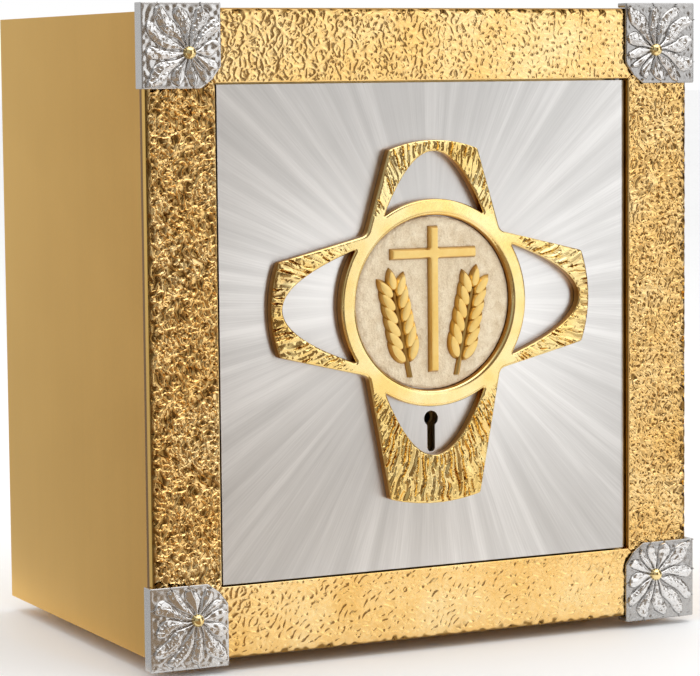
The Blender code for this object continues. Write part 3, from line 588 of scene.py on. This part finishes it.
def petal_depth(seed):
    """Depth of a corner casting, from its outer corner: petals round the stud on a plate with flat rims."""
    size, cell, clear = (400, 400), 0.2, 40
    stipple = field(seed, size, cell, 2.2, 2.2, 0.35)
    wave = field(seed + 1, size, cell, 4.5, 4.5, 0.4)
    edges = np.array(PETAL_EDGES, float)
    count = len(PETAL_EDGES) - 1
    jitter = np.random.default_rng(seed + 2).uniform(-1, 1, (3, count))

    def depth(u, v, d):
        dx, dy = u - CENTRE, v - CENTRE
        r = np.hypot(dx, dy) + 1e-6
        # which petal, and how far across and along it
        turn = np.degrees(np.arctan2(dy - dx, -dx - dy))
        turn = turn + 4.0 * np.sin(r * 0.30 + turn * 0.05)
        turn = np.where(turn < edges[0], turn + 360, turn)
        k = np.clip(np.searchsorted(edges, turn, side="right") - 1, 0, count - 1)
        middle, half = (edges[k] + edges[k + 1]) / 2, (edges[k + 1] - edges[k]) / 2
        across = (turn - middle) / half
        s = np.clip(np.abs(across), 0, 1)
        near, far = CENTRE - 1.6, PLATE - CENTRE - 0.8
        walls = [np.where(w < 0, near, far) / np.maximum(np.abs(w) / r, 1e-3) for w in (dx, dy)]
        cut = (2 * PLATE - CUT - 2 * CENTRE) / math.sqrt(2) - 1.0
        reach = np.minimum(np.minimum(*walls), cut / np.maximum((dx + dy) / r / math.sqrt(2), 1e-3))
        # a drop shape with a vein, pits and fine waves
        reach = reach - (1.4 + 0.8 * jitter[0][k]) * s ** 2.5 - 0.5 * (1 + jitter[1][k])
        outer = step(-0.45, 0.0, np.cos(np.radians(turn)))
        grow = step(2.5, 9.0, r)
        along = np.clip(r / reach, 0, 1)
        wide = (0.62 + 0.36 * step(0.1, 0.6, along)) * np.sqrt(np.maximum(1 - along ** 5, 1e-4))
        crown = np.sqrt(np.maximum(1 - (s / wide) ** 2, 0)) * step(1.2, 3.5, r) + step(3.5, 1.2, r)
        vein = 0.25 * np.exp(-((across - 0.12 * jitter[2][k]) / 0.14) ** 2) * grow
        pits = 0.35 * step(0.6, 1.5, read_field(stipple, cell, u + clear, v + clear)) * grow * outer
        slant = (dx - dy) / math.sqrt(2)
        lines = sum(np.exp(-((slant - a) / 0.28) ** 2) for a in (-1.25, 0.0, 1.25))
        lines = 0.5 * lines * step(3.0, 5.0, r) * step(0.2, 0.6, (dx + dy) / r)
        low = 0.10 * read_field(wave, cell, u + clear, v + clear) * grow
        rise = (1.55 + vein - pits - lines) * crown ** 0.8
        lift = np.clip(rise + low * step(0.6, 2.0, d), -0.3, 1.95)
        return FACE_LEVEL - lift + worn_edge(d, 0.6, 0.35)

    return depth


def corner_plate(name, x, z, turns, seed):
    """The casting is drawn from its outer corner, as at the top left, then turned about the view axis."""
    s, c, thick = PLATE, CUT, SKIRT_T
    face = [(0, 0), (s, 0), (s, s - c), (s - c * 0.45, s - c * 0.4), (s - c * 0.4, s - c * 0.45),
            (s - c, s), (0, s)]
    loop = eased(face, 0.28, 0.5)
    piece = plate(f"corner_plate_{name}_cast", [loop], petal_depth(seed), SEAT, 0.26, (0.12, 0.35), 50)
    skirt = bmesh.new()
    skirt.from_mesh(piece.data)
    front, rear = at(SEAT), at(SKIRT_BACK)
    plan = eased([(0.03, 0.03), (s, 0.03), (s, thick), (thick, thick), (thick, s), (0.03, s)], 0.6, 0.35)
    near = [skirt.verts.new((u * MM, front, v * MM)) for u, v in plan]
    far = [skirt.verts.new((u * MM, rear, v * MM)) for u, v in plan]
    n = len(plan)
    for k in range(n):
        skirt.faces.new((near[k], far[k], far[(k + 1) % n], near[(k + 1) % n]))
    skirt.faces.new(list(reversed(far)))
    skirt.faces.new(near)
    # it is drawn with v downward, so it is flipped upright and then taken to its corner
    flip = Matrix.Diagonal((1, 1, -1, 1))
    spin = Matrix.Rotation(turns * math.pi / 2, 4, "Y")
    bmesh.ops.transform(skirt, matrix=Matrix.Translation((x, 0, z)) @ spin @ flip, verts=skirt.verts)
    bmesh.ops.reverse_faces(skirt, faces=skirt.faces)
    skirt.to_mesh(piece.data)
    skirt.free()
    return smooth(piece, 50)


def make_corners():
    lo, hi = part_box("corner_plate_top_left")[0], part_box("corner_plate_top_right")[1]
    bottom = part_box("corner_plate_bottom_left")[0].z
    spots = (("top_left", lo.x, hi.z, 0), ("top_right", hi.x, hi.z, 1),
             ("bottom_right", hi.x, bottom, 2), ("bottom_left", lo.x, bottom, 3))
    for k, (name, x, z, turns) in enumerate(spots):
        # the right-hand plates take the painted-shade copy with the darker ground
        look = SHADED_SILVER if name.endswith("right") else None
        casting = corner_plate(name, x, z, turns, 61 + 5 * k)
        join_frame(casting, "cast_silver", f"corner_plate_{name}", look=look)
        low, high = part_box(f"corner_stud_{name}")
        middle = ((low.x + high.x) / 2, (low.z + high.z) / 2)
        bead = turned_piece(f"corner_stud_{name}_bead", bead_profile(), middle, 48)
        join_frame(bead, "polished_gold", f"corner_stud_{name}")


def bead_profile():
    """(radius, depth) of a stud's round head, a neck and its shank."""
    radius, level, end = 3.0, -2.8, 12.0
    turns = np.radians(np.linspace(0, 122, 25))
    ball = [(radius * math.sin(t), level - radius * math.cos(t)) for t in turns]
    return ball + [(2.1, -1.2), (2.0, end), (0, end)]


def turned_piece(name, profile, centre, steps):
    """A turned piece about the view axis, from (radius, depth) points, the first and last on the axis."""
    verts, faces = [], []
    rings = []
    for radius, depth in profile:
        if radius < 1e-6:
            rings.append([len(verts)])
            verts.append((centre[0], at(depth), centre[1]))
        else:
            rings.append(list(range(len(verts), len(verts) + steps)))
            for k in range(steps):
                t = 2 * math.pi * k / steps
                x, z = centre[0] + radius * MM * math.cos(t), centre[1] + radius * MM * math.sin(t)
                verts.append((x, at(depth), z))
    for one, two in zip(rings, rings[1:]):
        for k in range(steps):
            a, b = one[k % len(one)], one[(k + 1) % len(one)]
            c, d = two[(k + 1) % len(two)], two[k % len(two)]
            corners = list(dict.fromkeys((a, d, c, b)))
            if len(corners) > 2:
                faces.append(corners)
    piece = from_lists(name, verts, faces)
    fix = bmesh.new()
    fix.from_mesh(piece.data)
    bmesh.ops.recalc_face_normals(fix, faces=fix.faces)
    fix.to_mesh(piece.data)
    fix.free()
    return smooth(piece, 35)


# Cross ornament

# Measures in millimetres from the ring's centre
RING_IN, RING_OUT = 41.3, 48.9
ELBOW = (35.8, 33.4)
ELBOW_R = 4.0
SIDE_ARM = {"apex": 85.1, "corner": 81.0, "half": 22.2, "window": 79.1}
TOP_ARM = {"apex": 77.0, "corner": 72.7, "half": 23.6, "window": 71.7}
BOTTOM_ARM = {"apex": 95.6, "corner": 92.3, "half": 24.2, "window": 72.5}
ARMS = ((SIDE_ARM, 3), (TOP_ARM, 0), (SIDE_ARM, 1), (BOTTOM_ARM, 2))
WINDOW_HALF_ANGLE = math.radians(32.5)
FACE = -4.3
ORNAMENT_BACK = 0.7
ORNAMENT_STEP = 0.35


def arc(centre, radius, start, end, count):
    turns = [start + (end - start) * i / (count - 1) for i in range(count)]
    return [(centre[0] + radius * math.cos(t), centre[1] + radius * math.sin(t)) for t in turns]


def quarter_turns(points, count):
    """The points turned about the ring's centre, counterclockwise."""
    for _ in range(count % 4):
        points = [(-y, x) for x, y in points]
    return points


def arm_tip(arm):
    """The bowed end of an arm that points up."""
    half, rise = arm["half"], arm["apex"] - arm["corner"]
    radius = (half ** 2 + rise ** 2) / (2 * rise)
    reach = math.asin(half / radius)
    return arc((0, arm["apex"] - radius), radius, math.pi / 2 - reach, math.pi / 2 + reach, 15)


def ornament_loops():
    outer = []
    for arm, turns in ARMS:
        outer.extend(quarter_turns(arm_tip(arm), turns))
        sx, sz = [(1, 1), (-1, 1), (-1, -1), (1, -1)][(turns + 1) % 4]
        centre = (ELBOW[0] + ELBOW_R * 0.75, ELBOW[1] + ELBOW_R * 0.75)
        bend = arc(centre, ELBOW_R, math.radians(200), math.radians(250), 6)
        bend = [(sx * x, sz * y) for x, y in bend]
        outer.extend(bend if sx * sz < 0 else bend[::-1])
    bore = arc((0, 0), RING_IN, 0, 2 * math.pi, 257)[:-1]
    loops = [eased(outer, ORNAMENT_STEP, 0.7), eased(bore, ORNAMENT_STEP, 0.0)]
    for arm, turns in ARMS:
        radius = RING_OUT + 0.4
        half, foot = radius * math.sin(WINDOW_HALF_ANGLE), radius * math.cos(WINDOW_HALF_ANGLE)
        rise = arm["window"] - foot
        arch = [(half * u, arm["window"] - rise * u ** 2) for u in np.linspace(1, -1, 61)]
        base = arc((0, 0), radius, math.pi / 2 + WINDOW_HALF_ANGLE, math.pi / 2 - WINDOW_HALF_ANGLE, 31)
        loops.append(eased(quarter_turns(arch + base[1:-1], turns), ORNAMENT_STEP, 0.75))
    return [loop + np.array(RING) / MM for loop in loops]


def ornament_depth(x, z, d):
    """Polished ring and arm roots, then dents that run outward, over arms that sink towards their ends."""
    size, cell = (1760, 480), 0.25
    dx, dz = x - RING[0] / MM, z - RING[1] / MM
    r = np.hypot(dx, dz)
    around = np.arctan2(dz, dx) * size[0] * cell / (2 * math.pi)
    around = around + 0.35 * read_field(field(9, size, cell, 13.0, 13.0, 0.5), cell, around, r)
    gouges, ridges = strokes_field(5, size, cell, 2.4, 11.0), strokes_field(6, size, cell, 4.2, 13.0)
    chips, patches = field(7, size, cell, 2.0, 3.6), field(8, size, cell, 13.0, 13.0, 0.5)
    g, w, c, p = (read_field(v, cell, around, r) for v in (gouges, ridges, chips, patches))
    low_arm = step(0.6, 0.85, -dz / r)
    zone = step(51.0, 57.0, r) * np.clip(step(-0.7, 0.8, p) + low_arm + 0.5 * step(58, 74, r), 0.15, 1)
    dome = 0.9 * np.clip((np.abs(dx) - 50) / 36, 0, 1) ** 2
    dents = 1.15 * step(0.76, 1.60, g + 0.35 * w + 0.2 * low_arm) + 0.40 * step(1.1, 2.0, c) - 0.20 * w
    calm = step(0.1, 0.9, d)
    bore = np.where(r < RING_IN + 3, r - RING_IN, 9)
    return FACE + dome + dents * zone * calm + worn_edge(d, 1.1, 1.25) + worn_edge(bore, 2.4, 2.0)


def make_ornament():
    piece = plate("cross_ornament_cast", ornament_loops(), ornament_depth, ORNAMENT_BACK, 0.42,
                  (0.15, 0.4, 0.75), 50)
    join_frame(piece, "polished_gold", "cross_ornament", look=ORNAMENT_GOLD)


# Medallion

DISC_R = 41.0
DISC_FACE = -1.3
DISC_BACK = 0.7
BAR_HALF = 2.7
ARM_HEIGHT = 23.5
BEVEL = 1.0
RELIEF_FOOT = -1.2


def make_ground():
    flat = [(r, DISC_FACE) for r in (0, 8, 16, 24, 32, 38)]
    rim = [(DISC_R - 0.8, DISC_FACE), (DISC_R, DISC_FACE + 0.4), (DISC_R, DISC_BACK)]
    profile = flat + rim + [(0, DISC_BACK)]
    join_frame(turned_piece("medallion_ground", profile, RING, 128), "champagne_ground", "medallion_disc")


def bevelled(x, z, d):
    """A relief's depth: bevelled sides and a flat top with its arris worn."""
    return -1.35 - 2.6 * np.clip(d / BEVEL, 0, 1) + worn_edge(np.abs(d - BEVEL), 0.3, 0.05)


def make_cross():
    low, high = (corner - Vector((RING[0], 0, RING[1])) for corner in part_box("medallion_cross"))
    reach, top, bottom = high.x / MM, high.z / MM, low.z / MM
    under, over = ARM_HEIGHT - BAR_HALF, ARM_HEIGHT + BAR_HALF
    half = [(BAR_HALF, bottom), (BAR_HALF, under), (reach, under), (reach, over), (BAR_HALF, over),
            (BAR_HALF, top)]
    cross = half + [(-x, z) for x, z in reversed(half)]
    loop = eased(cross, 0.3, 0.12) + np.array(RING) / MM
    piece = plate("medallion_cross_relief", [loop], bevelled, RELIEF_FOOT, 0.6, (0.35, 0.7, 1.0), 30)
    join_frame(piece, "relief_gold", "medallion_cross")


def bridge(bm, rows):
    """Skins rows of vertices into a closed body with flat ends."""
    n = len(rows[0])
    for one, two in zip(rows, rows[1:]):
        for k in range(n):
            bm.faces.new((one[k], one[(k + 1) % n], two[(k + 1) % n], two[k]))
    bm.faces.new(rows[0])
    bm.faces.new(list(reversed(rows[-1])))


def ring_point(x, depth, z):
    """A world point from millimetres right of and above the ring's centre."""
    return (RING[0] + x * MM, at(depth), RING[1] + z * MM)


GRAIN_TOP = -3.75
GRAIN_BEVEL = 1.15


def grain_mesh(bm, base, lean, length, width):
    """One flat-topped, bevelled grain, its root at base and its point along lean."""
    steps = 10
    spots = [i / steps for i in range(1, steps)]
    sides = [(t * length, 0.5 * width * math.sin(math.pi * t ** 0.85) ** 0.75) for t in spots]
    outline = [(0, 0)] + sides + [(length, 0)] + [(t, -w) for t, w in reversed(sides)]
    rows = []
    for shrink, depth in ((0.0, RELIEF_FOOT), (0.0, RELIEF_FOOT - 0.6), (GRAIN_BEVEL, GRAIN_TOP),
                          (GRAIN_BEVEL + 0.35, GRAIN_TOP - 0.05)):
        row = []
        for t, w in outline:
            t = min(max(t, shrink * 1.5), length - shrink * 1.8)
            w = math.copysign(max(abs(w) - shrink, 0.02), w) if w else 0
            x = base[0] + math.sin(lean) * t + math.cos(lean) * w
            z = base[1] + math.cos(lean) * t - math.sin(lean) * w
            row.append(bm.verts.new(ring_point(x, depth, z)))
        rows.append(row)
    bridge(bm, rows)


EAR_LEAN = math.radians(12)
EAR_FOOT = (13.5, -30.0)
GRAIN_LEAN = math.radians(29)
GRAIN_PAIRS = 6
GRAIN_PITCH = 6.3
GRAIN_SIZE = (14.2, 6.3)
TIP_START = 36.5
TIP_SIZE = (12.0, 6.0)
STEM_START = -5.0
STEM_PITCH = 3.2
STEM_ROWS = 14
STEM_SIDES = 8


def wheat_ear(name, side):
    """An ear of wheat with a straight stem, paired grains and a single grain at its tip."""
    bm = bmesh.new()
    lean = side * EAR_LEAN

    def along(t, across=0.0):
        x = side * EAR_FOOT[0] + math.sin(lean) * t + math.cos(lean) * across
        return (x, EAR_FOOT[1] + math.cos(lean) * t - math.sin(lean) * across)

    length, width = GRAIN_SIZE
    for i in range(GRAIN_PAIRS):
        t = 2.0 + i * GRAIN_PITCH
        for way in (-1, 1):
            grain_mesh(bm, along(t, way * 1.1), lean + way * GRAIN_LEAN, length - 0.25 * i, width)
    grain_mesh(bm, along(TIP_START), lean, *TIP_SIZE)
    rows = []
    for i in range(STEM_ROWS):
        x, z = along(STEM_START + i * STEM_PITCH)
        wide = 1.5 - 0.04 * i
        turns = [2 * math.pi * k / STEM_SIDES for k in range(STEM_SIDES)]
        rows.append([bm.verts.new(ring_point(x + math.cos(a) * wide, DISC_FACE - math.sin(a) * 1.6, z))
                     for a in turns])
    bridge(bm, rows)
    bmesh.ops.recalc_face_normals(bm, faces=bm.faces)
    mesh = bpy.data.meshes.new(name)
    bm.to_mesh(mesh)
    bm.free()
    return smooth(shown(name, mesh), 28)


def make_medallion():
    make_ground()
    make_cross()
    for side, node in ((-1, "wheat_ear_left"), (1, "wheat_ear_right")):
        join_frame(wheat_ear(node + "_relief", side), "relief_gold", node)


# Everything else keeps its CAD shape, with its edges eased

def eased_copy(node, width):
    """A copy of a CAD node with its flat faces rejoined and its sharp edges rounded over."""
    mesh = frame["nodes"][node].data.copy()
    piece = shown(node + "_finished", mesh)
    bm = bmesh.new()
    bm.from_mesh(mesh)
    bmesh.ops.remove_doubles(bm, verts=bm.verts, dist=1e-6)
    bmesh.ops.dissolve_limit(bm, angle_limit=math.radians(1.5), verts=bm.verts, edges=bm.edges)
    bm.to_mesh(mesh)
    bm.free()
    bevel = piece.modifiers.new("eased", "BEVEL")
    bevel.width = width
    bevel.segments = 2
    bevel.limit_method = "ANGLE"
    bevel.angle_limit = math.radians(35)
    bevel.use_clamp_overlap = True
    smooth(piece, 30)
    return join_frame(piece, SLOTS[node], node)


# How far each node's edges are rounded over, in millimetres
EASED = {
    "case_shell": 0.7, "back_panel": 0.35, "door_panel": 0.35, "door_liner": 0.25, "door_stop_frame": 0.3,
    "lock_case": 0.3, "lock_cap": 0.3, "lock_bolt": 0.3, "bolt_guide": 0.2, "strike_plate": 0.2,
}


def finish_rest():
    """Eases the plain nodes, and gives every node that is still shown its look."""
    for node, width in EASED.items():
        eased_copy(node, width * MM)
    for name, node in frame["nodes"].items():
        if not node.hide_render:
            node.data.materials.clear()
            node.data.materials.append(LOOKS[SLOTS[name]])


# Stage

def make_floor():
    bpy.ops.mesh.primitive_plane_add(size=60, location=(0, 0, 0))
    floor = bpy.context.object
    floor.name = "floor"
    made = new_material("floor", (0.92, 0.92, 0.92), 0.6, 0.0)
    web = Web(made)
    cloud = web.noise(web.place(), 900, 2)
    web.use(base_color=web.colours(cloud, [(0.3, (0.91, 0.91, 0.91)), (0.7, (0.93, 0.93, 0.93))]))
    floor.data.materials.append(made)


def softbox(name, place, target, size, power):
    light = bpy.data.lights.new(name, "AREA")
    light.shape = "RECTANGLE"
    light.size, light.size_y = size
    light.energy = power
    lamp = bpy.data.objects.new(name, light)
    lamp.location = place
    lamp.rotation_euler = (Vector(target) - Vector(place)).to_track_quat("-Z", "Y").to_euler()
    lamp.visible_camera = False
    bpy.context.scene.collection.objects.link(lamp)


def card(name, corners, glow, tint):
    """A flat card that only reflections see."""
    panel = from_lists(name, corners, [(0, 1, 2, 3)])
    made = new_material(name, (0.0, 0.0, 0.0), 1.0, 0.0)
    shader = made.node_tree.nodes["Principled BSDF"]
    shader.inputs["Emission Color"].default_value = (*tint, 1)
    shader.inputs["Emission Strength"].default_value = glow
    shader.inputs["Specular IOR Level"].default_value = 0.0
    panel.data.materials.append(made)
    panel.visible_camera = False
    panel.visible_diffuse = False
    panel.visible_shadow = False


def upright(one, other, top):
    """Corners of an upright card over the line on the floor from one point to the other."""
    return [(*one, 0.0), (*other, 0.0), (*other, top), (*one, top)]


def lying(*corners):
    """Corners of a card just above the floor."""
    lift = 0.002
    return [(*corner, lift) for corner in corners]


WHITE = (1, 1, 1)
WARM = (1.0, 0.72, 0.46)
PALE = (1.0, 0.94, 0.88)

# Card: its corners, its glow and its tint
CARDS = {
    "left_card": (upright((-0.7, -2.4), (0.92, -2.6), 2.6), 0.20, WARM),
    "far_left_card": (upright((-2.6, -0.6), (-0.7, -2.4), 2.6), 0.40, WHITE),
    "west_card": (upright((-1.9, 0.4), (-2.6, -0.6), 2.6), 0.08, WARM),
    "left_floor": (lying((-2.6, -0.6), (-0.5, -0.86), (0.20, -0.86), (0.92, -2.6)), 0.11, WARM),
    "near_floor": (lying((-2.6, -0.6), (-0.3, -0.11), (-0.11, -0.11), (0.20, -0.86)), 0.34, WARM),
    "middle_floor": (lying((-0.05, -0.25), (0.20, -0.22), (0.20, -0.62), (0.10, -0.62)), 1.06, PALE),
    "right_floor": (lying((0.20, -0.22), (0.9, -0.12), (0.9, -0.62), (0.20, -0.62)), 0.66, PALE),
    "far_right_card": (upright((1.5, -2.5), (2.7, -1.9), 2.6), 0.96, WHITE),
    "right_card": (upright((2.7, -1.9), (3.0, 0.9), 2.6), 0.12, WARM),
    "side_card": (upright((-1.9, 0.4), (-0.4, 1.7), 1.4), 0.62, WHITE),
    "side_floor": (lying((-1.9, 0.4), (-0.5, -0.3), (-0.15, -0.1), (-0.4, 1.7)), 0.52, WHITE),
}


def make_lights():
    world = bpy.data.worlds.new("studio")
    bpy.context.scene.world = world
    world.use_nodes = True
    sky = world.node_tree.nodes["Background"]
    sky.inputs["Color"].default_value = (1, 1, 1, 1)
    sky.inputs["Strength"].default_value = 1.0
    softbox("key", (1.8, -2.3, 0.75), (0, 0, 0.15), (1.3, 1.7), 3.8)
    softbox("top", (0.3, -0.5, 2.2), (0, 0, 0.1), (2.4, 2.0), 18)
    softbox("edge", (-1.05, 1.75, 0.3), (-0.14, -0.09, 0.15), (0.25, 2.0), 2.5)
    for name, (corners, glow, tint) in CARDS.items():
        card(name, corners, glow, tint)


# The camera's place from the middle of the frame's lower front edge, and its turns in radians
CAMERA_FROM_FRAME = (-0.63498, -1.20033, 0.27035)
YAW, PITCH, ROLL = 0.4581, 0.0924, -0.0096
LENS = 147.651429
SENSOR = 36.0


def make_camera():
    """Looks straight down its own axis at the photograph's angle."""
    place = Vector((0, FRONT_Y, FRAME_LOW)) + Vector(CAMERA_FROM_FRAME)
    ahead = Vector((math.sin(YAW) * math.cos(PITCH), math.cos(YAW) * math.cos(PITCH), -math.sin(PITCH)))
    right = Vector((math.cos(YAW), -math.sin(YAW), 0))
    up = right.cross(ahead)
    side = math.cos(ROLL) * right + math.sin(ROLL) * up
    top = -math.sin(ROLL) * right + math.cos(ROLL) * up
    data = bpy.data.cameras.new("camera")
    data.sensor_width = SENSOR
    data.lens = LENS
    data.clip_start = 0.05
    camera = bpy.data.objects.new("camera", data)
    bpy.context.scene.collection.objects.link(camera)
    turned = Matrix((side, top, -ahead)).transposed().to_4x4()
    camera.matrix_world = Matrix.Translation(place) @ turned
    bpy.context.scene.camera = camera


make_frame()
make_corners()
make_ornament()
make_medallion()
finish_rest()
make_floor()
make_lights()
make_camera()
bpy.context.scene.view_settings.view_transform = "Standard"

bpy.context.view_layer.update()
